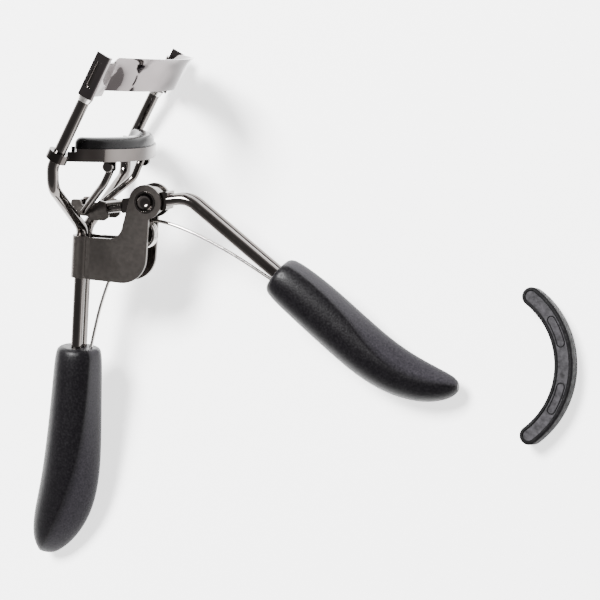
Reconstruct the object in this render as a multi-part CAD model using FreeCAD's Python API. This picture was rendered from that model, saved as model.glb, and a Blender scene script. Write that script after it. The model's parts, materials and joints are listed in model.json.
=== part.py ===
import FreeCAD, Part
import math
import os

# Spring-return eyelash curler with a spare pad, as separate pieces.
# The pieces are drawn in a working frame: x points forward, from the fixed handle towards the moving
# one, y runs along the pivot axis, z runs up the fixed handle to the jaws; the origin is the pivot.
# The finished pieces are then laid down on a table, z = 0, the way the tool rests on its own: on the
# lower jaw's far eyelet and on the ends of both grips. Millimetres.

os.makedirs("parts", exist_ok=True)

# ---- wire stock and sheet ----
WIRE_R = 1.15            # frame and lever wire radius
STEM_R = 0.75            # stem wire radius
SPRING_R = 0.35          # spring wire radius
BRACKET_SHEET = 0.7
JAW_SHEET = 0.45
YOKE_SHEET = 0.5
PIN_R = 0.7

# ---- frame wires and rails ----
FRAME_X = -14.0          # axis of both frame wires below the fork
FORK_Z = -6.9            # corner where the wires part
ELBOW = (-13.15, 17.2, 2.8)
RAIL_FOOT_Z = 6.9        # corner where the rails start to lean
RAIL_HALF = 17.2         # half the spacing of the two rails
RAIL_LEAN = 24.2         # degrees, forward
RAIL_X_AT = (-12.24, 9.5)
RAIL_TOP_Z = 27.7
FRAME_END_Z = -50.0      # lower wire end, inside the fixed grip

# ---- bracket ----
BRACKET_HALF = 2.8       # half the width over the two side plates
LOBE_R = 3.44
SLEEVE_TOP_Z = -8.4
SLEEVE_BOTTOM_Z = -17.0
RIVET_R = 1.95
RIVET_HEAD_R = 2.2
RIVET_LIP = 0.15
RIVET_DISH_R = 1.85
RIVET_DISH_DEPTH = 1.2

# ---- lever ----
LEVER_SLOPE = 0.216      # rise of the arm and hub stretch, z per x
LEVER_OFFSET = -0.26
LEVER_BEND_X = 8.35
LEVER_DROP = 0.6585      # fall of the handle stretch, z per x
LEVER_END_X = 40.0
LEVER_BEND_R = 5.0
EYE_R = 3.0
EYE_BORE = 2.02
EYE_SPAN = (-5.3, 4.3)   # flattened stretch of the lever wires
EYE_FACES = (0.05, 1.95)
YOKE_PIN_X = -9.6
ARM_TIP_R = 1.35         # rounded end of each arm about the yoke pin

# ---- jaws and pad ----
PAD_R = 18.2             # centre line of the pad, in plan
PAD_W = 3.6
PAD_H = 4.1
PAD_HALF_ANGLE = 46.0    # to the centre of each rounded end
JAW_AXIS_X = -21.55      # centre of the lower jaw's curve
JAW_FLOOR_Z = 8.2
CHANNEL_H = 2.5
EYELET_R = 2.1
EYELET_H = 1.8
EYELET_ANGLE = 60.0      # how far round the floor tabs reach towards the rails
FRONT_ANGLE = 57.0       # how far round the front wall runs on, lower than the channel
FRONT_H = 1.9
RAIL_CLEARANCE = 0.09
PLATE_R = 18.85          # outer face of the upper jaw plate, in plan
PLATE_HALF = 15.2
PLATE_FOOT = (-5.33, 22.15)
PLATE_H = 7.1            # along the rails
PLATE_FLARE = 0.9
CHEEK_LOW = 12.6         # cheek ends, measured along the rails from the height of RAIL_X_AT
CHEEK_HIGH = 21.6
CHEEK_FRONT = 1.85       # outside of the folded front, forward of the rail's axis

# ---- stem ----
STEM_TOP = (-5.5, 7.0, 7.0)
STEM_BEND = (-6.9, 7.3, 3.4)
STEM_FOOT = (-12.9, 3.05, -3.0)    # beside a yoke cheek
STEM_HEAD_R = 1.1
LUG_Y = 8.25             # middle of each lug under the lower jaw

# ---- spring ----
COIL_CENTRE = (-1.2, -6.85)
COIL_R = 2.65
COIL_TURNS = 3
SPRING_PITCH = 2 * SPRING_R + 0.06

# ---- lying on the table ----
LIE_TURN_X = -78.61      # degrees about x, then
LIE_TURN_Y = 6.05        # degrees about y: the three lowest points then share one level
SPARE_AT = (78.4, -22.5) # middle of the spare pad's chord on the table, from the pivot
SPARE_TURN = 6.6
SPARE_R = 16.5           # the spare pad is relaxed, so it curls a little tighter
SPARE_HALF_ANGLE = 52.5


def vec(x, y, z):
    return FreeCAD.Vector(x, y, z)


def rounded_path(corners, radii):
    """Wire of straight runs through the corners, each inner corner rounded to its own radius."""
    edges = []
    start = corners[0]
    for here, before, after, radius in zip(corners[1:-1], corners[:-2], corners[2:], radii):
        back = (before - here).normalize()
        ahead = (after - here).normalize()
        half_turn = (math.pi - back.getAngle(ahead)) / 2
        reach = radius * math.tan(half_turn)
        bisector = (back + ahead).normalize()
        middle = here + bisector * (radius / math.cos(half_turn) - radius)
        edges.append(Part.LineSegment(start, here + back * reach).toShape())
        edges.append(Part.Arc(here + back * reach, middle, here + ahead * reach).toShape())
        start = here + ahead * reach
    edges.append(Part.LineSegment(start, corners[-1]).toShape())
    return Part.Wire(edges)


def rod(corners, radii, radius):
    """Round wire bent along the corners."""
    path = rounded_path(corners, radii)
    section = Part.Wire([Part.makeCircle(radius, corners[0], corners[1] - corners[0])])
    return path.makePipeShell([section], True, False)


def outline(corners):
    """Closed outline in the xz plane from (x, z, corner radius) triples."""
    points = [vec(x, 0, z) for x, z, radius in corners]
    count = len(points)
    edges = []
    joints = []
    for i in range(count):
        here = points[i]
        back = (points[i - 1] - here).normalize()
        ahead = (points[(i + 1) % count] - here).normalize()
        radius = corners[i][2]
        half_turn = (math.pi - back.getAngle(ahead)) / 2
        reach = radius * math.tan(half_turn)
        joints.append((here + back * reach, here + ahead * reach))
        if radius > 0:
            bisector = (back + ahead).normalize()
            middle = here + bisector * (radius / math.cos(half_turn) - radius)
            edges.append(Part.Arc(joints[i][0], middle, joints[i][1]).toShape())
        else:
            edges.append(None)
    loop = []
    for i in range(count):
        if edges[i] is not None:
            loop.append(edges[i])
        loop.append(Part.LineSegment(joints[i][1], joints[(i + 1) % count][0]).toShape())
    return Part.Wire(loop)


def plate(corners, y_low, thickness):
    """Flat plate parallel to xz, between y_low and y_low + thickness."""
    face = Part.Face(outline(corners))
    face.translate(vec(0, y_low, 0))
    return face.extrude(vec(0, thickness, 0))


def across(radius, x, z, y_low, y_high):
    """Round bar parallel to the pivot axis."""
    return Part.makeCylinder(radius, y_high - y_low, vec(x, y_low, z), vec(0, 1, 0))


def rail_point(z, side):
    """Point on a rail's axis at height z."""
    return vec(RAIL_X_AT[0] + (z - RAIL_X_AT[1]) * math.tan(math.radians(RAIL_LEAN)), side * RAIL_HALF, z)


LEAN = math.radians(RAIL_LEAN)
ALONG = vec(math.sin(LEAN), 0, math.cos(LEAN))       # up a rail
FORWARD = vec(math.cos(LEAN), 0, -math.sin(LEAN))    # square to the rails, away from the fixed handle


# ---- frame wires ----
def frame_wire(side):
    corners = [vec(FRAME_X, side * WIRE_R, FRAME_END_Z), vec(FRAME_X, side * WIRE_R, FORK_Z),
               vec(ELBOW[0], side * ELBOW[1], ELBOW[2]), rail_point(RAIL_FOOT_Z, side),
               rail_point(RAIL_TOP_Z, side)]
    return rod(corners, [2.5, 3.4, 4.0], WIRE_R)


# ---- fulcrum bracket: one sheet, a sleeve round the frame wires and two side plates ----
def fulcrum_bracket(frame_wires):
    height = SLEEVE_TOP_Z - SLEEVE_BOTTOM_Z
    wrap = WIRE_R + BRACKET_SHEET
    inner = BRACKET_HALF - BRACKET_SHEET
    back = vec(FRAME_X, -WIRE_R, SLEEVE_BOTTOM_Z)
    sleeve = Part.makeBox(wrap, 2 * WIRE_R, height, vec(FRAME_X - wrap, -WIRE_R, SLEEVE_BOTTOM_Z))
    for side in (-1, 1):
        back.y = side * WIRE_R
        sleeve = sleeve.fuse(Part.makeCylinder(wrap, height, back))
    inner_half = BRACKET_HALF - 0.55
    neck = Part.makeBox(3.2, 2 * inner_half, height, vec(FRAME_X, -inner_half, SLEEVE_BOTTOM_Z))
    sleeve = sleeve.fuse(neck)
    sleeve = sleeve.cut(Part.makeBox(5.0, 2 * inner, height, vec(FRAME_X + 0.9, -inner, SLEEVE_BOTTOM_Z)))
    sleeve = sleeve.cut(Part.makeBox(2.0, 2 * WIRE_R, height, vec(FRAME_X, -WIRE_R, SLEEVE_BOTTOM_Z)))
    arm = [(FRAME_X + 2.6, SLEEVE_BOTTOM_Z, 0.4), (0.85, SLEEVE_BOTTOM_Z + 0.25, 5.4), (1.0, 0, 0),
           (-LOBE_R + 0.02, 0, 0), (-4.45, -4.8, 4.0), (-5.1, SLEEVE_TOP_Z + 0.35, 3.0),
           (FRAME_X + 2.6, SLEEVE_TOP_Z, 0.4)]
    shape = sleeve
    for y_low in (-BRACKET_HALF, inner):
        side_plate = plate(arm, y_low, BRACKET_SHEET)
        side_plate = side_plate.fuse(across(LOBE_R, 0, 0, y_low, y_low + BRACKET_SHEET))
        shape = shape.fuse(side_plate)
    shape = shape.cut(across(RIVET_R, 0, 0, -4, 4))
    for wire in frame_wires:
        shape = shape.cut(wire)
    return shape.removeSplitter()


# ---- pivot rivet: a thin rolled lip outside each plate and a dished end ----
def pivot_rivet():
    half = BRACKET_HALF + RIVET_LIP
    dish_r = (RIVET_DISH_R ** 2 + RIVET_DISH_DEPTH ** 2) / (2 * RIVET_DISH_DEPTH)
    shape = across(RIVET_R, 0, 0, -half, half)
    for side in (-1, 1):
        low, high = sorted((side * BRACKET_HALF, side * half))
        shape = shape.fuse(across(RIVET_HEAD_R, 0, 0, low, high))
    for side in (-1, 1):
        shape = shape.cut(Part.makeSphere(dish_r, vec(0, side * (half - RIVET_DISH_DEPTH + dish_r), 0)))
    return shape.removeSplitter()


# ---- lever wires, flattened into eyes round the rivet ----
def lever_z(x):
    return LEVER_OFFSET + LEVER_SLOPE * x


def lever_wire(side):
    bend = vec(LEVER_BEND_X, side * WIRE_R, lever_z(LEVER_BEND_X))
    end = handle_point(LEVER_END_X) + vec(0, side * WIRE_R, 0)
    tip_x = YOKE_PIN_X - ARM_TIP_R
    arm = vec(tip_x, side * WIRE_R, lever_z(tip_x))
    wire = rod([arm, bend, end], [LEVER_BEND_R], WIRE_R)
    tip = Part.makeBox(2 * ARM_TIP_R, 6, 6, vec(tip_x - ARM_TIP_R, -3, lever_z(YOKE_PIN_X) - 3))
    wire = wire.cut(tip.cut(across(ARM_TIP_R, YOKE_PIN_X, lever_z(YOKE_PIN_X), -4, 4)))
    low, high = sorted((side * EYE_FACES[0], side * EYE_FACES[1]))
    cut_low = vec(EYE_SPAN[0], low - 3, -6)
    wire = wire.cut(Part.makeBox(EYE_SPAN[1] - EYE_SPAN[0], 12, 12, cut_low - vec(0, 3, 0)))
    half = 1.5
    bar = [(EYE_SPAN[0], lever_z(EYE_SPAN[0]) - half, 0.4), (EYE_SPAN[1], lever_z(EYE_SPAN[1]) - half, 0.4),
           (EYE_SPAN[1], lever_z(EYE_SPAN[1]) + half, 0.4), (EYE_SPAN[0], lever_z(EYE_SPAN[0]) + half, 0.4)]
    eye = plate(bar, low, high - low).fuse(across(EYE_R, 0, 0, low, high))
    wire = wire.fuse(eye)
    wire = wire.cut(across(EYE_BORE, 0, 0, -4, 4))
    wire = wire.cut(across(PIN_R, YOKE_PIN_X, lever_z(YOKE_PIN_X), -4, 4))
    return wire.removeSplitter()


# ---- collar clamped round both lever wires beside the eyes ----
def lever_collar(lever_wires):
    x_low = EYE_SPAN[1] - 1.7
    z_mid = lever_z(x_low + 0.85)
    half = 1.85
    outer = [(x_low, z_mid - half - 0.15, 0.3), (x_low + 1.7, z_mid - half + 0.15, 0.3),
             (x_low + 1.7, z_mid + half + 0.15, 0.3), (x_low, z_mid + half - 0.15, 0.3)]
    band = plate(outer, -EYE_FACES[1] - 0.0, 2 * EYE_FACES[1])
    for wire in lever_wires:
        band = band.cut(wire)
    return band.cut(across(EYE_R + 0.02, 0, 0, -4, 4))


# ---- grips: soft mouldings over the wire ends ----
def grip(stations, inserts):
    """Loft through ovals: (x, z, half width, half thickness, degrees below forward) down the handle."""
    sections = []
    for x, z, half_width, half_thick, heading in stations:
        turn = FreeCAD.Rotation(vec(0, 1, 0), heading + 90)
        rim = []
        for i in range(12):
            a = 2 * math.pi * i / 12
            offset = vec(half_width * math.cos(a), half_thick * math.sin(a), 0)
            rim.append(turn.multVec(offset) + vec(x, 0, z))
        oval = Part.BSplineCurve()
        oval.interpolate(rim, PeriodicFlag=True)
        sections.append(Part.Wire([oval.toShape()]))
    shape = Part.makeLoft(sections, True, False)
    for insert in inserts:
        shape = shape.cut(insert)
    return shape


def core_bar(start, end):
    """Flat bar between a pair of wires, so that both bores in a grip open into one slot."""
    offset = (end - start).cross(vec(0, 1, 0)).normalize() * (WIRE_R / 2)
    corners = [start + offset, end + offset, end - offset, start - offset, start + offset]
    face = Part.Face(Part.makePolygon(corners))
    face.translate(vec(0, -WIRE_R, 0))
    return face.extrude(vec(0, 2 * WIRE_R, 0))


def handle_point(x):
    """Point on the middle line of the lever's handle stretch."""
    return vec(x, 0, lever_z(LEVER_BEND_X) - LEVER_DROP * (x - LEVER_BEND_X))


FIXED_STATIONS = [
    (-13.9, -32.0, 4.3, 4.1, 90),
    (-13.9, -33.3, 4.9, 4.6, 90),
    (-13.9, -41.0, 5.3, 4.8, 90),
    (-13.9, -50.0, 5.6, 4.9, 90),
    (-14.0, -58.0, 5.8, 4.9, 92),
    (-14.9, -64.5, 5.6, 4.6, 101),
    (-16.6, -69.5, 4.9, 4.0, 112),
    (-18.5, -73.3, 3.6, 3.1, 120),
    (-19.8, -75.6, 2.0, 1.9, 124),
]
MOVING_STATIONS = [
    (27.6, -11.2, 3.9, 4.1, 33.5),
    (28.9, -12.0, 4.6, 4.6, 33.5),
    (35.6, -16.3, 5.1, 4.8, 35),
    (42.4, -21.1, 5.1, 4.9, 36),
    (48.3, -25.1, 5.1, 4.9, 31),
    (53.9, -27.8, 4.8, 4.6, 20),
    (58.9, -29.0, 4.1, 4.0, 8),
    (62.6, -29.2, 3.0, 3.1, 0),
    (65.0, -29.0, 1.8, 1.9, -4),
]


# ---- upper jaw: one pressed sheet, a curved plate and a folded cheek at each rail ----
def level_curve(radius, half, lift):
    """Ends and middle of an arc in plan about the plate's own axis, at a lift along the rails."""
    axis_x = PLATE_FOOT[0] - math.sqrt(PLATE_R ** 2 - PLATE_HALF ** 2)
    depth = math.sqrt(radius * radius - half * half)
    base = vec(axis_x, 0, PLATE_FOOT[1]) + ALONG * lift
    return base + vec(depth, -half, 0), base + vec(radius, 0, 0), base + vec(depth, half, 0)


def upper_jaw(frame_wires):
    levels = [(0.0, 0.0), (PLATE_H * 0.4, 0.0), (PLATE_H * 0.72, 0.12), (PLATE_H, PLATE_FLARE)]
    sections = []
    for lift, flare in levels:
        half = PLATE_HALF + flare * 0.3
        outer = level_curve(PLATE_R + flare, half, lift)
        inner = level_curve(PLATE_R + flare - JAW_SHEET, half - JAW_SHEET * 0.7, lift)
        sections.append(Part.Wire([Part.Arc(*outer).toShape(),
                                   Part.LineSegment(outer[2], inner[2]).toShape(),
                                   Part.Arc(*reversed(inner)).toShape(),
                                   Part.LineSegment(inner[0], outer[0]).toShape()]))
    jaw = Part.makeLoft(sections, True, False)
    for side in (-1, 1):
        jaw = jaw.fuse(cheek(side))
    for wire in frame_wires:
        jaw = jaw.cut(wire)
    return jaw.removeSplitter()


def rail_block(foot, m_range, y_range, s_range):
    """Block square to a rail: forward of it, along the pivot axis, and up the rail from foot."""
    y_low, y_high = sorted(y_range)
    corner = foot + FORWARD * m_range[0] + vec(0, y_low, 0) + ALONG * s_range[0]
    depth = FORWARD * (m_range[1] - m_range[0])
    width = vec(0, y_high - y_low, 0)
    base = Part.makePolygon([corner, corner + depth, corner + depth + width, corner + width, corner])
    return Part.Face(base).extrude(ALONG * (s_range[1] - s_range[0]))


def cheek(side):
    """Sheet folded round the outer side and the front of a rail, with a long slot in its side face."""
    foot = rail_point(RAIL_X_AT[1], side) + ALONG * CHEEK_LOW
    tall = CHEEK_HIGH - CHEEK_LOW
    out = side * (WIRE_R + JAW_SHEET)
    reach = side * (PLATE_HALF - 0.6 - RAIL_HALF)
    skins = []
    for inset, fold_r in ((0, 0.75), (JAW_SHEET, 0.3)):
        front = CHEEK_FRONT - inset
        side_y = out - side * inset
        corners = [foot + FORWARD * m + vec(0, y, 0)
                   for m, y in ((-WIRE_R, side_y), (front, side_y), (front, reach))]
        skins.append(rounded_path(corners, [fold_r]))
        ends = corners[0], corners[-1]
        if inset == 0:
            outer_ends = ends
    closing = [Part.LineSegment(outer_ends[i], ends[i]).toShape() for i in (0, 1)]
    section = Part.Wire(Part.__sortEdges__(skins[0].Edges + skins[1].Edges + closing))
    shape = Part.Face(section).extrude(ALONG * tall)
    inboard = (side * (WIRE_R - 0.4), reach * 1.2)
    shape = shape.cut(rail_block(foot, (-3, 3), inboard, (-0.1, 0.9)))
    shape = shape.cut(rail_block(foot, (-3, 3), inboard, (tall - 1.0, tall + 0.1)))
    return shape.cut(rail_block(foot, (-0.5, 0.45), (side * 0.2, side * 3), (2.0, tall - 1.7)))


# ---- solder bead at the foot of each cheek ----
def rail_solder(side, rail):
    start = rail_point(RAIL_X_AT[1], side) + ALONG * (CHEEK_LOW - 1.1)
    bead = Part.makeCone(WIRE_R + 0.1, WIRE_R + 0.4, 1.05, start, ALONG)
    return bead.cut(rail)


# ---- lower jaw: curved channel with a rolled eyelet on each rail and two lugs below ----
def plan_arc(radius, half_angle, z):
    """Arc about the lower jaw's centre line, bulging forward."""
    a = math.radians(half_angle)
    ends = [vec(JAW_AXIS_X + radius * math.cos(a), s * radius * math.sin(a), z) for s in (-1, 1)]
    return Part.Arc(ends[0], vec(JAW_AXIS_X + radius, 0, z), ends[1]).toShape()


def ring_sector(r_in, r_out, half_angle, z_low, z_high):
    inner = plan_arc(r_in, half_angle, z_low)
    outer = plan_arc(r_out, half_angle, z_low)
    sides = [Part.LineSegment(inner.Vertexes[i].Point, outer.Vertexes[i].Point).toShape() for i in (0, 1)]
    face = Part.Face(Part.Wire(Part.__sortEdges__([inner, outer] + sides)))
    return face.extrude(vec(0, 0, z_high - z_low))


def lower_jaw():
    r_in = PAD_R - PAD_W / 2 - 0.05 - JAW_SHEET
    r_out = PAD_R + PAD_W / 2 + 0.05 + JAW_SHEET
    half_angle = PAD_HALF_ANGLE + 6.5
    top = JAW_FLOOR_Z + CHANNEL_H
    shape = ring_sector(r_in, r_out, half_angle, JAW_FLOOR_Z, top)
    floor_top = JAW_FLOOR_Z + JAW_SHEET
    trough = ring_sector(r_in + JAW_SHEET, r_out - JAW_SHEET, half_angle + 0.2, floor_top, top + 1)
    shape = shape.cut(trough)
    shape = shape.fuse(ring_sector(r_in + 0.6, r_out, EYELET_ANGLE, JAW_FLOOR_Z, floor_top))
    front_top = JAW_FLOOR_Z + FRONT_H
    shape = shape.fuse(ring_sector(r_out - JAW_SHEET, r_out, FRONT_ANGLE, JAW_FLOOR_Z, front_top))
    for side in (-1, 1):
        centre = rail_point(JAW_FLOOR_Z + 0.85, side)
        eyelet = Part.makeCylinder(EYELET_R, EYELET_H, centre - ALONG * (EYELET_H / 2), ALONG)
        shape = shape.fuse(eyelet)
        lug = plate([(STEM_TOP[0] - 1.3, STEM_TOP[2] - 1.1, 1.0), (STEM_TOP[0] + 1.3, STEM_TOP[2] - 1.1, 1.0),
                     (STEM_TOP[0] + 1.3, JAW_FLOOR_Z + 0.3, 0), (STEM_TOP[0] - 1.3, JAW_FLOOR_Z + 0.3, 0)],
                    side * LUG_Y - 0.25, 0.5)
        shape = shape.fuse(lug)
    for side in (-1, 1):
        centre = rail_point(JAW_FLOOR_Z + 0.85, side)
        bore = Part.makeCylinder(WIRE_R + RAIL_CLEARANCE, 12, centre - ALONG * 6, ALONG)
        shape = shape.cut(bore)
    shape = shape.cut(across(STEM_R + 0.08, STEM_TOP[0], STEM_TOP[2], -10, 10))
    return shape.removeSplitter()


# ---- rubber pad: a C in plan with rounded ends and a rounded top ----
def curved_pad(radius, half_angle, z_low):
    body = ring_sector(radius - PAD_W / 2, radius + PAD_W / 2, half_angle, z_low, z_low + PAD_H)
    a = math.radians(half_angle)
    for side in (-1, 1):
        end = vec(JAW_AXIS_X + radius * math.cos(a), side * radius * math.sin(a), z_low)
        body = body.fuse(Part.makeCylinder(PAD_W / 2, PAD_H, end))
    body = body.removeSplitter()
    rim = [edge for edge in body.Edges if abs(edge.BoundBox.ZMin - z_low - PAD_H) < 0.01]
    return body.makeFillet(1.3, rim)


# ---- stem: two bent wires from the lugs down to the yoke ----
def stem_wire(side):
    head = vec(STEM_TOP[0], side * (LUG_Y + 0.6), STEM_TOP[2])
    top = vec(STEM_TOP[0], side * STEM_TOP[1], STEM_TOP[2])
    bend = vec(STEM_BEND[0], side * STEM_BEND[1], STEM_BEND[2])
    foot = vec(STEM_FOOT[0], side * STEM_FOOT[1], STEM_FOOT[2])
    wire = rod([head, top, bend, foot], [0.9, 3.0], STEM_R)
    button = Part.makeCylinder(STEM_HEAD_R, 0.7, head, vec(0, side, 0))
    rim = [edge for edge in button.Edges if abs(edge.BoundBox.YMin - head.y - side * 0.7) < 0.01]
    return wire.fuse(button.makeFillet(0.35, rim)).removeSplitter()


def yoke():
    """Bent sheet: two cheeks outside the arm's wires, joined behind by a web."""
    half = 2 * WIRE_R + 0.2
    cheek_outline = [(-7.4, -3.7, 0.6), (-8.4, -4.6, 0.6), (-11.4, -4.8, 0.5), (-12.2, -4.1, 0.3),
                     (-15.9, -4.1, 0.8), (-15.9, -1.0, 0.6), (-13.9, -0.9, 0.4), (-13.5, -2.0, 0.5),
                     (-11.2, -2.0, 0.5), (-9.7, -0.6, 0.5), (-8.3, -0.9, 0.5), (-8.1, -2.6, 0.4)]
    shape = plate(cheek_outline, half, YOKE_SHEET)
    shape = shape.fuse(plate(cheek_outline, -half - YOKE_SHEET, YOKE_SHEET))
    web = Part.makeBox(YOKE_SHEET, 2 * half, 2.4, vec(-15.9, -half, -3.8))
    return shape.fuse(web).removeSplitter()


# ---- torsion spring: coil between the side plates and one leg into each grip ----
def spring_legs(radius):
    """The moving leg and the fixed leg, at a given wire radius."""
    cx, cz = COIL_CENTRE
    top = cz + COIL_R
    near = SPRING_PITCH * COIL_TURNS / 2
    moving = [vec(cx, near, top), vec(4.5, near * 0.7, -3.95), vec(15.0, near * 0.4, -7.35),
              vec(29.0, 0, -13.9)]
    fixed = [vec(cx, -near, top), vec(cx - COIL_R - 0.7, -near, top), vec(-8.0, -near * 0.6, -16.6),
             vec(-12.0, 0, -35.0)]
    return rod(moving, [12.0, 30.0], radius), rod(fixed, [2.2, 20.0], radius)


def torsion_spring():
    length = SPRING_PITCH * COIL_TURNS
    helix = Part.makeHelix(SPRING_PITCH, length, COIL_R)
    circle = Part.Wire([Part.makeCircle(SPRING_R, vec(COIL_R, 0, 0), vec(0, 1, 0))])
    coil = Part.Wire(helix.Edges).makePipeShell([circle], True, True)
    coil.translate(vec(0, 0, -length / 2))
    coil.rotate(vec(0, 0, 0), vec(1, 0, 0), 90)
    coil.rotate(vec(0, 0, 0), vec(0, 1, 0), -90)
    coil.translate(vec(COIL_CENTRE[0], 0, COIL_CENTRE[1]))
    for leg in spring_legs(SPRING_R):
        coil = coil.fuse(leg)
    return coil.removeSplitter()


# ---- everything together ----
def build():
    frame_wires = [frame_wire(-1), frame_wire(1)]
    lever_wires = [lever_wire(-1), lever_wire(1)]
    moving_leg, fixed_leg = spring_legs(SPRING_R + 0.08)
    fixed_core = core_bar(vec(FRAME_X, 0, -30), vec(FRAME_X, 0, FRAME_END_Z))
    moving_core = core_bar(handle_point(25), handle_point(LEVER_END_X))
    stem_wires = [stem_wire(side) for side in (-1, 1)]
    stem_yoke = yoke()
    for wire in stem_wires:
        stem_yoke = stem_yoke.cut(wire)
    return {
        "frame_wire_left": frame_wires[0],
        "frame_wire_right": frame_wires[1],
        "fulcrum_bracket": fulcrum_bracket(frame_wires),
        "pivot_rivet": pivot_rivet(),
        "upper_jaw": upper_jaw(frame_wires),
        "fixed_grip": grip(FIXED_STATIONS, frame_wires + [fixed_core, fixed_leg]),
        "lever_wire_left": lever_wires[0],
        "lever_wire_right": lever_wires[1],
        "lever_collar": lever_collar(lever_wires),
        "moving_grip": grip(MOVING_STATIONS, lever_wires + [moving_core, moving_leg]),
        "yoke_pin": across(PIN_R, YOKE_PIN_X, lever_z(YOKE_PIN_X), -2 * WIRE_R, 2 * WIRE_R),
        "lower_jaw": lower_jaw(),
        "lash_pad": curved_pad(PAD_R, PAD_HALF_ANGLE, JAW_FLOOR_Z + JAW_SHEET + 0.02),
        "stem_wire_left": stem_wires[0],
        "stem_wire_right": stem_wires[1],
        "yoke": stem_yoke,
        "torsion_spring": torsion_spring(),
        "rail_solder_left": rail_solder(-1, frame_wires[0]),
        "rail_solder_right": rail_solder(1, frame_wires[1]),
    }


def laid_down(shape):
    """Turn a piece from the working frame to the way the tool lies on a table."""
    shape.rotate(vec(0, 0, 0), vec(1, 0, 0), LIE_TURN_X)
    shape.rotate(vec(0, 0, 0), vec(0, 1, 0), LIE_TURN_Y)
    return shape


def spare_pad(table_z):
    """The second pad, lying flat on the table beside the tool and bulging away from it."""
    pad = curved_pad(SPARE_R, SPARE_HALF_ANGLE, 0)
    pad.translate(vec(-JAW_AXIS_X - SPARE_R * math.cos(math.radians(SPARE_HALF_ANGLE)), 0, 0))
    pad.rotate(vec(0, 0, 0), vec(0, 0, 1), SPARE_TURN)
    pad.translate(vec(SPARE_AT[0], SPARE_AT[1], table_z))
    return pad


def on_the_table(pieces):
    """Lay the tool down, add the spare pad, and put the middle of the whole footprint at the origin."""
    tool = {name: laid_down(shape) for name, shape in pieces.items()}
    boxes = [shape.optimalBoundingBox(True, False) for shape in tool.values()]
    table_z = min(box.ZMin for box in boxes)
    tool["spare_pad"] = spare_pad(table_z)
    boxes.append(tool["spare_pad"].optimalBoundingBox(True, False))
    middle_x = (min(box.XMin for box in boxes) + max(box.XMax for box in boxes)) / 2
    middle_y = (min(box.YMin for box in boxes) + max(box.YMax for box in boxes)) / 2
    for shape in tool.values():
        shape.translate(vec(-middle_x, -middle_y, -table_z))
    return tool, vec(-middle_x, -middle_y, -table_z)


if __name__ == "__main__":
    solids, pivot_at = on_the_table(build())
    for name, shape in solids.items():
        shape.exportStep("parts/" + name + ".step")
    print("pivot at", [round(v, 4) for v in pivot_at])
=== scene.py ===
import json
import math

import bmesh
import bpy
from mathutils import Matrix, Vector


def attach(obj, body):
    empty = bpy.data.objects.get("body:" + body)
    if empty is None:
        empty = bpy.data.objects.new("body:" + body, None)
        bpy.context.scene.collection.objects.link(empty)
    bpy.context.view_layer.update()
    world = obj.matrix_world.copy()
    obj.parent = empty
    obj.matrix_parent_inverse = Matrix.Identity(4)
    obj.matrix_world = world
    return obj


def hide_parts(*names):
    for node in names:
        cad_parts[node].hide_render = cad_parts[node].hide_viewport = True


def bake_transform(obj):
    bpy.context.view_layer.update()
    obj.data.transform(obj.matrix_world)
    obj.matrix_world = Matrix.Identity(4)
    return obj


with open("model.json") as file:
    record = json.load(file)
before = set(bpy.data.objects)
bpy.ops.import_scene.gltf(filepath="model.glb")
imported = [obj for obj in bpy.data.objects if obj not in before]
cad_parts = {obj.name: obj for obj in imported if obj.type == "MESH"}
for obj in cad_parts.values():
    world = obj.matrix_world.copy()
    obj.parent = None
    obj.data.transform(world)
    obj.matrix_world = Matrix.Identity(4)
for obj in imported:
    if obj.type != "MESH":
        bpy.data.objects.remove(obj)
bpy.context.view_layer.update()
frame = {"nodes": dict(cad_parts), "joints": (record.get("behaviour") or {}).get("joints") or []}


# ---------------------------------------------------------------------------------------------
# Frame wires, lever wires, stem wires and yoke pin. Steel rod, bent to shape, then plated in
# black nickel: a dark mirror with faint clouding and a very fine unevenness.
# ---------------------------------------------------------------------------------------------
def material(name):
    """New node material, returned with its node list, its links and its shader."""
    made = bpy.data.materials.new(name)
    made.use_nodes = True
    nodes = made.node_tree.nodes
    return made, nodes, made.node_tree.links, nodes["Principled BSDF"]


def noise(nodes, links, feature_mm, detail):
    """Noise on Object coordinates whose features are about feature_mm across."""
    where = nodes.new("ShaderNodeTexCoord")
    grain = nodes.new("ShaderNodeTexNoise")
    grain.inputs["Scale"].default_value = 500.0 / feature_mm
    grain.inputs["Detail"].default_value = detail
    links.new(where.outputs["Object"], grain.inputs["Vector"])
    return grain.outputs["Fac"]


def ramp(nodes, links, value, low, high, start=0.3, end=0.7):
    """Spread a noise value over low to high: two colours or two numbers."""
    if isinstance(low, tuple):
        spread = nodes.new("ShaderNodeValToRGB")
        spread.color_ramp.elements[0].position = start
        spread.color_ramp.elements[0].color = (*low, 1)
        spread.color_ramp.elements[1].position = end
        spread.color_ramp.elements[1].color = (*high, 1)
        links.new(value, spread.inputs["Fac"])
        return spread.outputs["Color"]
    spread = nodes.new("ShaderNodeMapRange")
    spread.inputs["From Min"].default_value = start
    spread.inputs["From Max"].default_value = end
    spread.inputs["To Min"].default_value = low
    spread.inputs["To Max"].default_value = high
    links.new(value, spread.inputs["Value"])
    return spread.outputs["Result"]


def bump(nodes, links, shader, value, depth_mm):
    """Raise the surface by a value, depth_mm deep."""
    raised = nodes.new("ShaderNodeBump")
    raised.inputs["Strength"].default_value = 1.0
    raised.inputs["Distance"].default_value = depth_mm / 1000
    links.new(value, raised.inputs["Height"])
    links.new(raised.outputs["Normal"], shader.inputs["Normal"])


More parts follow.
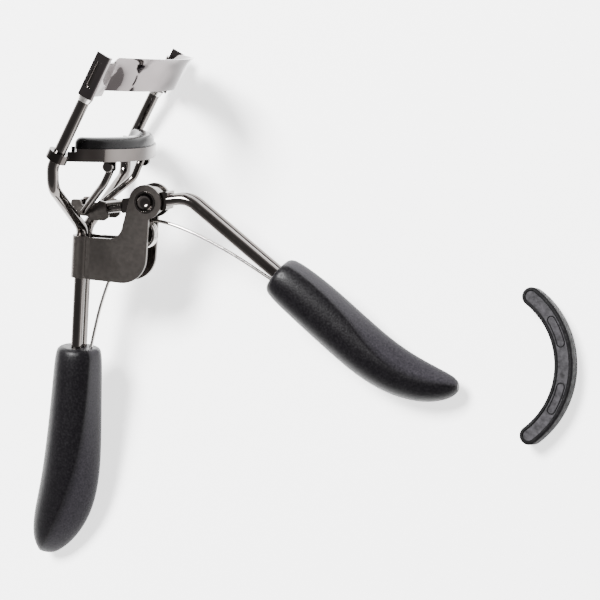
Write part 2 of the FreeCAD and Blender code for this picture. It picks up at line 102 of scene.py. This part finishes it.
def plated(name, dark, light, smooth, dull, feature_mm, depth_mm):
    """Plated steel: cloudy colour, gloss that varies a little, and a faint unevenness."""
    made, nodes, links, shader = material(name)
    shader.inputs["Metallic"].default_value = 1.0
    clouds = noise(nodes, links, 6.0, 2.0)
    fine = noise(nodes, links, feature_mm, 4.0)
    links.new(ramp(nodes, links, clouds, dark, light), shader.inputs["Base Color"])
    links.new(ramp(nodes, links, fine, smooth, dull), shader.inputs["Roughness"])
    bump(nodes, links, shader, fine, depth_mm)
    return made


def repaint(node, made):
    """Give a CAD node its finish."""
    obj = frame["nodes"][node]
    obj.data.materials.clear()
    obj.data.materials.append(made)
    return obj


black_nickel = plated("black_nickel", (0.105, 0.096, 0.091), (0.15, 0.138, 0.131), 0.06, 0.13, 0.5, 0.0015)
for node in ("frame_wire_left", "frame_wire_right", "lever_wire_left", "lever_wire_right",
             "stem_wire_left", "stem_wire_right", "yoke_pin"):
    repaint(node, black_nickel)


# ---------------------------------------------------------------------------------------------
# Fulcrum bracket, yoke and collar. Blanked and folded steel sheet with its cut edges tumbled
# round. The bracket and yoke are plated over a satin ground; the collar is bright like the rods.
# ---------------------------------------------------------------------------------------------
def finished(name, mesh, made, body, sharp):
    """Shaded, painted object from a mesh, riding on a body if one is given."""
    mesh.polygons.foreach_set("use_smooth", [True] * len(mesh.polygons))
    mesh.set_sharp_from_angle(angle=math.radians(sharp))
    mesh.materials.clear()
    mesh.materials.append(made)
    obj = bpy.data.objects.new(name, mesh)
    bpy.context.scene.collection.objects.link(obj)
    if body:
        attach(obj, body)
    return obj


def piece(name, bm, made, body, sharp, matrix=None):
    """Mesh object from a bmesh, moved by a matrix if one is given, riding on a body."""
    if matrix:
        bm.transform(matrix)
    mesh = bpy.data.meshes.new(name)
    bm.to_mesh(mesh)
    bm.free()
    return finished(name, mesh, made, body, sharp)


def softened(node, made, body, edge_mm, sharp=35):
    """Copy of a CAD node with its sharp edges rounded over."""
    bm = bmesh.new()
    bm.from_mesh(frame["nodes"][node].data)
    bmesh.ops.remove_doubles(bm, verts=bm.verts, dist=1e-6)
    bmesh.ops.dissolve_limit(bm, angle_limit=math.radians(0.5), verts=bm.verts, edges=bm.edges,
                             delimit=set())
    obj = piece(node + "_finished", bm, made, body, sharp)
    rounding = obj.modifiers.new("edges", "BEVEL")
    rounding.width = edge_mm / 1000
    rounding.segments = 2
    rounding.limit_method = "ANGLE"
    rounding.angle_limit = math.radians(sharp)
    rounding.harden_normals = True
    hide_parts(node)
    return obj


satin_nickel = plated("satin_nickel", (0.125, 0.113, 0.105), (0.14, 0.128, 0.119), 0.28, 0.33, 0.35, 0.0008)
softened("fulcrum_bracket", satin_nickel, "frame", 0.14)
softened("yoke", satin_nickel, "stem", 0.1)
softened("lever_collar", black_nickel, "lever", 0.1)


# ---------------------------------------------------------------------------------------------
# Pivot rivet. Steel rivet with a dished end and a thin rolled lip on each side, plated.
# ---------------------------------------------------------------------------------------------
rivet_nickel = plated("rivet_nickel", (0.10, 0.09, 0.085), (0.14, 0.128, 0.12), 0.1, 0.18, 0.4, 0.002)
softened("pivot_rivet", rivet_nickel, "frame", 0.12)


# ---------------------------------------------------------------------------------------------
# Upper jaw. One pressed sheet: a curved plate with a flared lip and a cheek folded round each
# rail. Buffed before plating, so it mirrors more clearly than the rods.
# ---------------------------------------------------------------------------------------------
bright_nickel = plated("bright_nickel", (0.13, 0.116, 0.116), (0.19, 0.172, 0.172),
                       0.035, 0.08, 1.4, 0.0012)
softened("upper_jaw", bright_nickel, "frame", 0.1)


# ---------------------------------------------------------------------------------------------
# Solder. A bright bead left at the foot of each cheek, lumpy and a little dull in places.
# ---------------------------------------------------------------------------------------------
solder = plated("solder", (0.66, 0.64, 0.62), (0.78, 0.76, 0.73), 0.12, 0.3, 0.5, 0.04)
for node in ("rail_solder_left", "rail_solder_right"):
    repaint(node, solder)


# ---------------------------------------------------------------------------------------------
# Lower jaw. Curved channel with an eyelet on each rail, pressed from sheet, buffed and plated.
# ---------------------------------------------------------------------------------------------
channel_nickel = plated("channel_nickel", (0.035, 0.03, 0.028), (0.10, 0.09, 0.085),
                        0.04, 0.09, 1.2, 0.0012)
softened("lower_jaw", channel_nickel, "lower_jaw", 0.1)


# ---------------------------------------------------------------------------------------------
# Torsion spring. Bright spring wire: a coil hanging under the rivet, a fixed leg down into the
# fixed grip and a leg out to the moving grip. It is drawn in the tool's own directions, in
# millimetres from the pivot: forward, across along the pivot, and up.
# ---------------------------------------------------------------------------------------------
RAIL_LEAN = math.radians(24.2)
joints = {joint["name"]: joint for joint in frame["joints"]}
pivot = Vector(joints["lever_pivot"]["pos_m"])
across = Vector(joints["lever_pivot"]["axis"]).normalized()
up_rail = Vector(joints["lower_jaw_slide"]["axis"]).normalized()
off_rail = across.cross(up_rail)
forward = off_rail * math.cos(RAIL_LEAN) + up_rail * math.sin(RAIL_LEAN)
up = up_rail * math.cos(RAIL_LEAN) - off_rail * math.sin(RAIL_LEAN)
TOOL = Matrix((forward, across, up)).transposed().to_4x4()
TOOL.translation = pivot
TOOL_MM = TOOL @ Matrix.Scale(0.001, 4)
SPRING_WIRE = 0.35
COIL_CENTRE = (-1.2, -6.85)
COIL_RADIUS = 2.65
COIL_TURNS = 3
COIL_PITCH = 0.76


def bent_wire(name, points, radius, made, body, resolution=24, matrix=TOOL_MM, closed=False):
    """Round wire along a smooth line, open or closed, through points in millimetres."""
    line = bpy.data.curves.new(name, "CURVE")
    line.dimensions = "3D"
    line.bevel_depth = radius
    line.bevel_resolution = 5
    line.use_fill_caps = True
    line.resolution_u = resolution
    run = line.splines.new("BEZIER")
    run.bezier_points.add(len(points) - 1)
    for knot, point in zip(run.bezier_points, points):
        knot.co = point
        knot.handle_left_type = knot.handle_right_type = "AUTO"
    run.use_cyclic_u = closed
    holder = bpy.data.objects.new(name, line)
    bpy.context.scene.collection.objects.link(holder)
    bpy.context.view_layer.update()
    mesh = bpy.data.meshes.new_from_object(holder)
    bpy.data.objects.remove(holder)
    mesh.transform(matrix)
    return finished(name, mesh, made, body, 60)


spring_steel = plated("spring_steel", (0.50, 0.48, 0.46), (0.62, 0.60, 0.58), 0.16, 0.26, 0.3, 0.002)
cx, cz = COIL_CENTRE
near = COIL_PITCH * COIL_TURNS / 2
coil_points = []
for step in range(8 * COIL_TURNS + 1):
    turn = 2 * math.pi * step / 8
    coil_points.append((cx + COIL_RADIUS * math.sin(turn), near - COIL_PITCH * step / 8,
                        cz + COIL_RADIUS * math.cos(turn)))
fixed_leg = [(cx - COIL_RADIUS * 0.93, -near - 0.1, cz + 0.9), (cx - COIL_RADIUS - 0.1, -near, cz - 1.6),
             (-4.9, -near * 0.9, -10.9), (-8.2, -near * 0.55, -18.4), (-12.0, 0, -35.0)]
coil = bent_wire("spring_coil", coil_points + fixed_leg, SPRING_WIRE, spring_steel, "frame")
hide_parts("torsion_spring")
leg_run = [(cx - 0.6, near, cz + COIL_RADIUS - 0.05), (1.4, near * 0.9, -4.0),
           (6.5, near * 0.65, -4.75), (15.0, near * 0.4, -7.5), (29.0, 0, -13.9)]
moving_leg = bent_wire("spring_moving_leg", leg_run, SPRING_WIRE, spring_steel, None)
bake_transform(moving_leg)


# ---------------------------------------------------------------------------------------------
# Grips. Soft-touch rubber moulded over the rod ends: a rounded front, a crowned thumb face that
# widens towards the tip, and a creased edge between that face and the sides. Fine moulded grain.
# The thumb face is coloured lighter than the sides: a painted sheen.
# ---------------------------------------------------------------------------------------------
def section_point(k, half_width, half_thick, edge):
    """Point k of 32 round a grip: 0-16 over the thumb face, 4 and 12 on its edges, 17-31 underneath."""
    if k > 16:
        a = math.pi * k / 16
        return half_width * math.cos(a), half_thick * math.sin(a)
    j = min(k, 16 - k)
    side = 1 if k <= 8 else -1
    edge_angle = math.asin(edge)
    if j <= 4:
        a = edge_angle * j / 4
        swell = 1 + 0.01 * math.sin(math.pi * j / 8)
        return side * half_width * math.cos(a) * swell, half_thick * math.sin(a) * swell
    edge_w = half_width * math.cos(edge_angle) * 1.01
    edge_t = half_thick * edge * 1.01
    w = edge_w * (8 - j) / 4
    return side * w, edge_t + (half_thick - edge_t) * (1 - (w / edge_w) ** 1.35)


def grip(name, stations, made, body):
    """Skin over stations of (x, z, half depth, half breadth, degrees below forward, edge height)."""
    bm = bmesh.new()
    crease = bm.edges.layers.float.new("crease_edge")
    # Mask of the thumb face, which the material paints lighter as a painted sheen.
    thumb = bm.verts.layers.float.new("thumb")
    loops = []
    for x, z, half_depth, half_breadth, heading, edge in stations:
        down = math.radians(heading)
        ring = bmesh.ops.create_circle(bm, segments=32, radius=1)["verts"]
        for k, vert in enumerate(ring):
            w, t = section_point(k, half_breadth, half_depth, edge)
            vert.co = (x + t * math.sin(down), w, z + t * math.cos(down))
            # 1 on the thumb face, where the painted sheen goes.
            vert[thumb] = 1.0 if 4 < k < 12 else 0.0
        loops.append(ring)
    for here, there in zip(loops[:-1], loops[1:]):
        for k in range(32):
            bm.faces.new((here[k], here[k - 1], there[k - 1], there[k]))
        for k in (4, 12):
            bm.edges.get((here[k], there[k]))[crease] = 0.45
    for ring in (loops[0], loops[-1]):
        bm.faces.new(ring)
    bmesh.ops.inset_region(bm, faces=[f for f in bm.faces if len(f.verts) == 32], thickness=0.6)
    bmesh.ops.recalc_face_normals(bm, faces=bm.faces)
    obj = piece(name + "_moulding", bm, made, body, 180, TOOL_MM)
    smooth = obj.modifiers.new("skin", "SUBSURF")
    smooth.levels = smooth.render_levels = 2
    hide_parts(name)
    return obj


soft_touch, nodes, links, shader = material("soft_touch")
shader.inputs["IOR"].default_value = 1.25
grain = noise(nodes, links, 0.17, 2.0)
# Painted sheen: the thumb face gets a lighter colour than the sides, standing in for the light it catches.
painted_sheen_mask = nodes.new("ShaderNodeAttribute")
painted_sheen_mask.attribute_name = "thumb"
sides = ramp(nodes, links, grain, (0.0022, 0.0018, 0.0025), (0.0065, 0.006, 0.007), 0.45, 0.75)
face = ramp(nodes, links, grain, (0.010, 0.009, 0.0115), (0.023, 0.021, 0.0255), 0.3, 0.75)
sheen_and_panel_mix = nodes.new("ShaderNodeMix")
sheen_and_panel_mix.data_type = "RGBA"
links.new(painted_sheen_mask.outputs["Fac"], sheen_and_panel_mix.inputs["Factor"])
links.new(sides, sheen_and_panel_mix.inputs["A"])
links.new(face, sheen_and_panel_mix.inputs["B"])
links.new(sheen_and_panel_mix.outputs["Result"], shader.inputs["Base Color"])
links.new(ramp(nodes, links, grain, 0.32, 0.5), shader.inputs["Roughness"])
bump(nodes, links, shader, grain, 0.035)
grip("fixed_grip", [(-13.9, -31.7, 3.6, 3.4, 90, 0.72), (-13.9, -32.0, 4.4, 4.1, 90, 0.74),
                    (-13.9, -33.2, 5.0, 4.7, 90, 0.76), (-13.9, -41.0, 5.35, 4.85, 90, 0.70),
                    (-13.9, -50.0, 5.95, 4.9, 90, 0.53), (-14.1, -58.0, 6.45, 4.9, 92, 0.28),
                    (-15.0, -64.5, 6.45, 4.6, 101, 0.08), (-16.8, -69.5, 5.7, 4.0, 112, 0.05),
                    (-18.7, -73.3, 4.3, 3.1, 120, 0.05), (-19.9, -75.6, 2.7, 2.0, 124, 0.05),
                    (-20.4, -76.5, 0.9, 0.9, 126, 0.05)], soft_touch, "frame")
grip("moving_grip", [(27.9, -11.4, 3.3, 3.5, 33.5, 0.72), (28.2, -11.6, 4.0, 4.2, 33.5, 0.74),
                     (29.5, -12.4, 4.7, 4.7, 33.5, 0.76), (35.6, -16.3, 5.15, 4.85, 35, 0.74),
                     (42.4, -21.1, 5.15, 4.95, 36, 0.62), (48.3, -25.1, 5.15, 4.95, 31, 0.30),
                     (53.9, -27.8, 4.85, 4.65, 20, 0.18), (58.9, -29.0, 4.15, 4.05, 8, 0.22),
                     (62.6, -29.2, 3.1, 3.2, 0, 0.28), (65.0, -29.0, 2.0, 2.1, -4, 0.28),
                     (65.8, -28.9, 0.9, 0.9, -5, 0.28)], soft_touch, "lever")


# ---------------------------------------------------------------------------------------------
# Lash pad and spare pad. Moulded rubber strips, curved in plan with rounded ends. The fitted one
# is smooth and glossier; the spare shows the moulded top: a rim, a groove and a grained panel.
# ---------------------------------------------------------------------------------------------
PAD_WIDTH = 3.6
PAD_HEIGHT = 4.1
PANEL_HALF = 1.0


def pad(name, radius, half_angle, half_section, made, body, matrix):
    """Round off both ends, then spin half a section and its mirror image round the pad's axis."""
    bm = bmesh.new()
    panel = bm.verts.layers.float.new("panel")
    reach = math.radians(half_angle)

    def swept(points, middle, start, centre, sweep, steps):
        verts = [bm.verts.new(middle + start * d + Vector((0, 0, z))) for d, z in points]
        for vert, (d, z) in zip(verts, points):
            vert[panel] = 1.0 if d <= PANEL_HALF and z > PAD_HEIGHT - 0.1 else 0.0
        edges = [bm.edges.new(pair) for pair in zip(verts[:-1], verts[1:])]
        bmesh.ops.spin(bm, geom=verts + edges, cent=centre, axis=(0, 0, 1), angle=sweep, steps=steps,
                       use_merge=False)

    for side in (-1, 1):
        outward = Vector((math.cos(reach), side * math.sin(reach), 0))
        end = outward * radius
        swept(half_section, end, outward, end, side * math.pi, 14)
    first = Vector((math.cos(reach), -math.sin(reach), 0))
    for direction in (-1, 1):
        swept(half_section, first * radius, first * direction, (0, 0, 0), 2 * reach, 56)
    bmesh.ops.remove_doubles(bm, verts=bm.verts, dist=0.004)
    bmesh.ops.recalc_face_normals(bm, faces=bm.faces)
    obj = piece(name + "_moulding", bm, made, body, 50, matrix)
    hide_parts(name)
    return obj


def rounded_section(half, height, top_round, steps=6):
    """Half a section: from the middle of the underside, round the outside, to the edge of the top."""
    points = [(0, 0), (half - 0.3, 0), (half - 0.09, 0.09), (half, 0.3)]
    for i in range(steps + 1):
        a = math.pi / 2 * i / steps
        points.append((half - top_round * (1 - math.cos(a)), height - top_round * (1 - math.sin(a))))
    return points


pad_rubber, nodes, links, shader = material("pad_rubber")
shader.inputs["IOR"].default_value = 1.22
clouds = noise(nodes, links, 3.0, 3.0)
soot = ramp(nodes, links, clouds, (0.002, 0.0018, 0.002), (0.004, 0.0036, 0.004))
links.new(soot, shader.inputs["Base Color"])
links.new(ramp(nodes, links, clouds, 0.16, 0.3), shader.inputs["Roughness"])
bump(nodes, links, shader, noise(nodes, links, 0.4, 2.0), 0.006)
PAD_AXIS_X = -21.55
PAD_FLOOR_Z = 8.67
pad("lash_pad", 18.2, 46.0, rounded_section(PAD_WIDTH / 2, PAD_HEIGHT, 1.3) + [(0, PAD_HEIGHT)], pad_rubber,
    "lower_jaw", TOOL_MM @ Matrix.Translation((PAD_AXIS_X, 0, PAD_FLOOR_Z)))

grained_rubber, nodes, links, shader = material("grained_rubber")
shader.inputs["IOR"].default_value = 1.2
coarse = noise(nodes, links, 0.45, 3.0)
panel_top = nodes.new("ShaderNodeAttribute")
panel_top.attribute_name = "panel"
sheen_and_panel_mix = nodes.new("ShaderNodeMix")
sheen_and_panel_mix.data_type = "RGBA"
sheen_and_panel_mix.inputs["A"].default_value = (0.0022, 0.002, 0.0024, 1)
links.new(panel_top.outputs["Fac"], sheen_and_panel_mix.inputs["Factor"])
links.new(ramp(nodes, links, coarse, (0.009, 0.0085, 0.0095), (0.045, 0.043, 0.047)), sheen_and_panel_mix.inputs["B"])
links.new(sheen_and_panel_mix.outputs["Result"], shader.inputs["Base Color"])
links.new(ramp(nodes, links, coarse, 0.5, 0.75), shader.inputs["Roughness"])
bump(nodes, links, shader, coarse, 0.1)
SPARE_RADIUS = 16.5
SPARE_HALF_ANGLE = 52.5
SPARE_AT = (0.0784, -0.0225)
SPARE_TURN = math.radians(6.6)
chord_x = SPARE_RADIUS * math.cos(math.radians(SPARE_HALF_ANGLE))
SPARE = (Matrix.Translation((pivot.x + SPARE_AT[0], pivot.y + SPARE_AT[1], 0))
         @ Matrix.Rotation(SPARE_TURN, 4, "Z")
         @ Matrix.Scale(0.001, 4) @ Matrix.Translation((-chord_x, 0, 0)))
top = PAD_HEIGHT
groove = [(1.22, top), (1.17, top - 0.14), (1.05, top - 0.16), (PANEL_HALF, top - 0.07), (0, top - 0.05)]
pad("spare_pad", SPARE_RADIUS, SPARE_HALF_ANGLE, rounded_section(PAD_WIDTH / 2, top, 0.35, 3) + groove,
    grained_rubber, "spare_pad", SPARE)
CAPSULE_HALF = 0.72
CAPSULE_SWEEP = 8.2
CAPSULE_LINE = 0.11
for name, middle in (("spare_panel_near", -21.7), ("spare_panel_far", 23.5)):
    loop = []
    for step in range(28):
        t = step % 14
        side = 1 if step < 14 else -1
        if t < 9:
            angle = side * (t / 4 - 1) * CAPSULE_SWEEP
            out = side * CAPSULE_HALF
        else:
            turn = math.pi * (t - 8) / 6
            angle = side * (CAPSULE_SWEEP + 2.5 * math.sin(turn))
            out = side * CAPSULE_HALF * math.cos(turn)
        spin = math.radians(middle + angle)
        reach = SPARE_RADIUS + out
        loop.append((reach * math.cos(spin), reach * math.sin(spin), top - 0.05))
    bent_wire(name, loop, CAPSULE_LINE, grained_rubber, "spare_pad", 4, SPARE, True)


# ---------------------------------------------------------------------------------------------
# Camera: looks down on the table from the moving handle's side, 316 mm up.
# ---------------------------------------------------------------------------------------------
camera_data = bpy.data.cameras.new("camera")
camera_data.lens = 102.0
camera_data.sensor_width = 36.0
camera = bpy.data.objects.new("camera", camera_data)
camera.location = (0.13098, 0.00361, 0.31609)
camera.rotation_euler = (math.radians(3.489), math.radians(22.799), math.radians(8.132))
bpy.context.scene.collection.objects.link(camera)
bpy.context.scene.camera = camera


# ---------------------------------------------------------------------------------------------
# Pale floor and soft studio light.
# ---------------------------------------------------------------------------------------------
floor_material, nodes, links, floor_shader = material("white_paper")
floor_shader.inputs["Base Color"].default_value = (0.93, 0.93, 0.93, 1)
floor_shader.inputs["Roughness"].default_value = 0.9
floor_shader.inputs["Emission Color"].default_value = (1, 1, 1, 1)
floor_shader.inputs["Emission Strength"].default_value = 1.9
bm = bmesh.new()
bmesh.ops.create_grid(bm, x_segments=1, y_segments=1, size=1.5)
mesh = bpy.data.meshes.new("floor")
bm.to_mesh(mesh)
bm.free()
floor = bpy.data.objects.new("floor", mesh)
floor.location = (0, 0, -0.0005)
mesh.materials.append(floor_material)
bpy.context.scene.collection.objects.link(floor)

world = bpy.data.worlds.new("studio")
bpy.context.scene.world = world
world.use_nodes = True
sky = world.node_tree.nodes
ways = world.node_tree.links
direction = sky.new("ShaderNodeTexCoord")
height = sky.new("ShaderNodeSeparateXYZ")
tones = sky.new("ShaderNodeValToRGB")
tones.color_ramp.elements[0].position = 0.0
tones.color_ramp.elements[0].color = (1.0, 0.98, 0.98, 1)
tones.color_ramp.elements[1].position = 0.92
tones.color_ramp.elements[1].color = (0.26, 0.25, 0.25, 1)
for position, tone in ((0.38, 0.85), (0.55, 0.30)):
    stop = tones.color_ramp.elements.new(position)
    stop.color = (tone, tone * 0.98, tone * 0.98, 1)
ways.new(direction.outputs["Generated"], height.inputs["Vector"])
ways.new(height.outputs["Z"], tones.inputs["Fac"])
ways.new(tones.outputs["Color"], sky["Background"].inputs["Color"])
sky["Background"].inputs["Strength"].default_value = 0.9


def softbox(name, at, aim, size, power):
    data = bpy.data.lights.new(name, "AREA")
    data.shape = "RECTANGLE"
    data.size, data.size_y = size
    data.energy = power
    lamp = bpy.data.objects.new(name, data)
    lamp.location = at
    lamp.rotation_euler = (Vector(aim) - Vector(at)).to_track_quat("-Z", "Y").to_euler()
    bpy.context.scene.collection.objects.link(lamp)


softbox("key", (-0.34, 0.46, 1.0), (0, 0, 0), (0.40, 0.40), 60)
